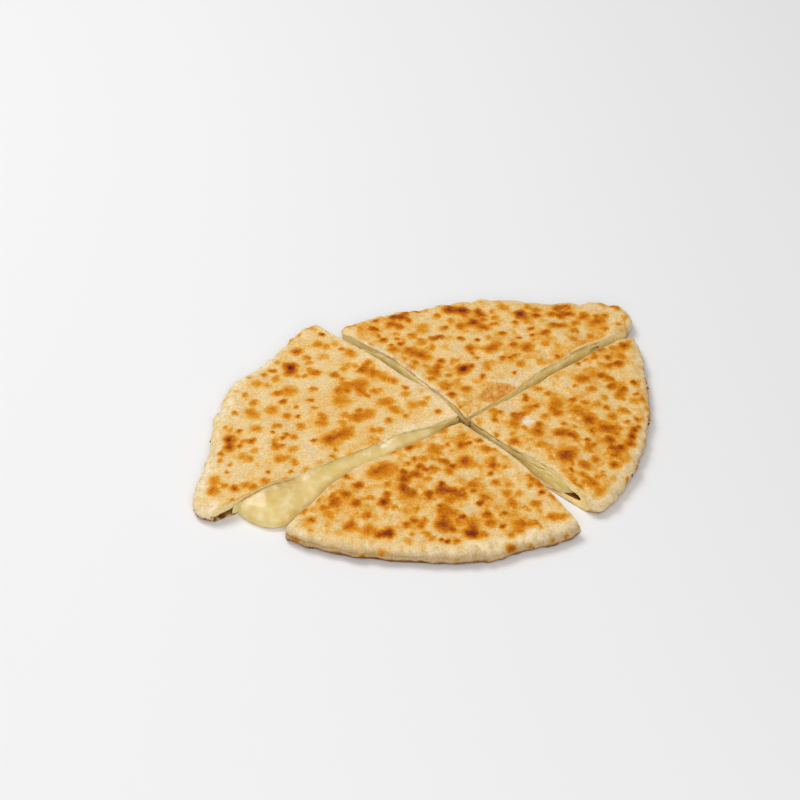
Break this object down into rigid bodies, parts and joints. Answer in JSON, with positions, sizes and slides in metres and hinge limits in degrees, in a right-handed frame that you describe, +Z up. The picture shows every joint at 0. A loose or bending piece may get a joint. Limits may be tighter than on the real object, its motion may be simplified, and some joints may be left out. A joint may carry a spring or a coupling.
{
  "type": "cheese gozleme",
  "caption": "Flat round of toasted folded dough filled with melted cheese, cut in quarters that still lie together as one round.",
  "frame": {"origin": "under the middle of the object's box, on the surface it rests on", "axes": "+Z up, through the thin direction; +X along the round's longest width, towards the right quarter; -Y towards the quarter named front"},
  "size_m": [0.233, 0.1994, 0.0127],
  "materials": {
    "toasted_dough": null,
    "melted_cheese": null
  },
  "bodies": {
    "root": {"dough_left": "toasted_dough", "dough_back": "toasted_dough", "dough_right": "toasted_dough", "dough_front": "toasted_dough", "cheese_left": "melted_cheese", "cheese_back": "melted_cheese", "cheese_right": "melted_cheese", "cheese_front": "melted_cheese"}
  },
  "joints": []
}
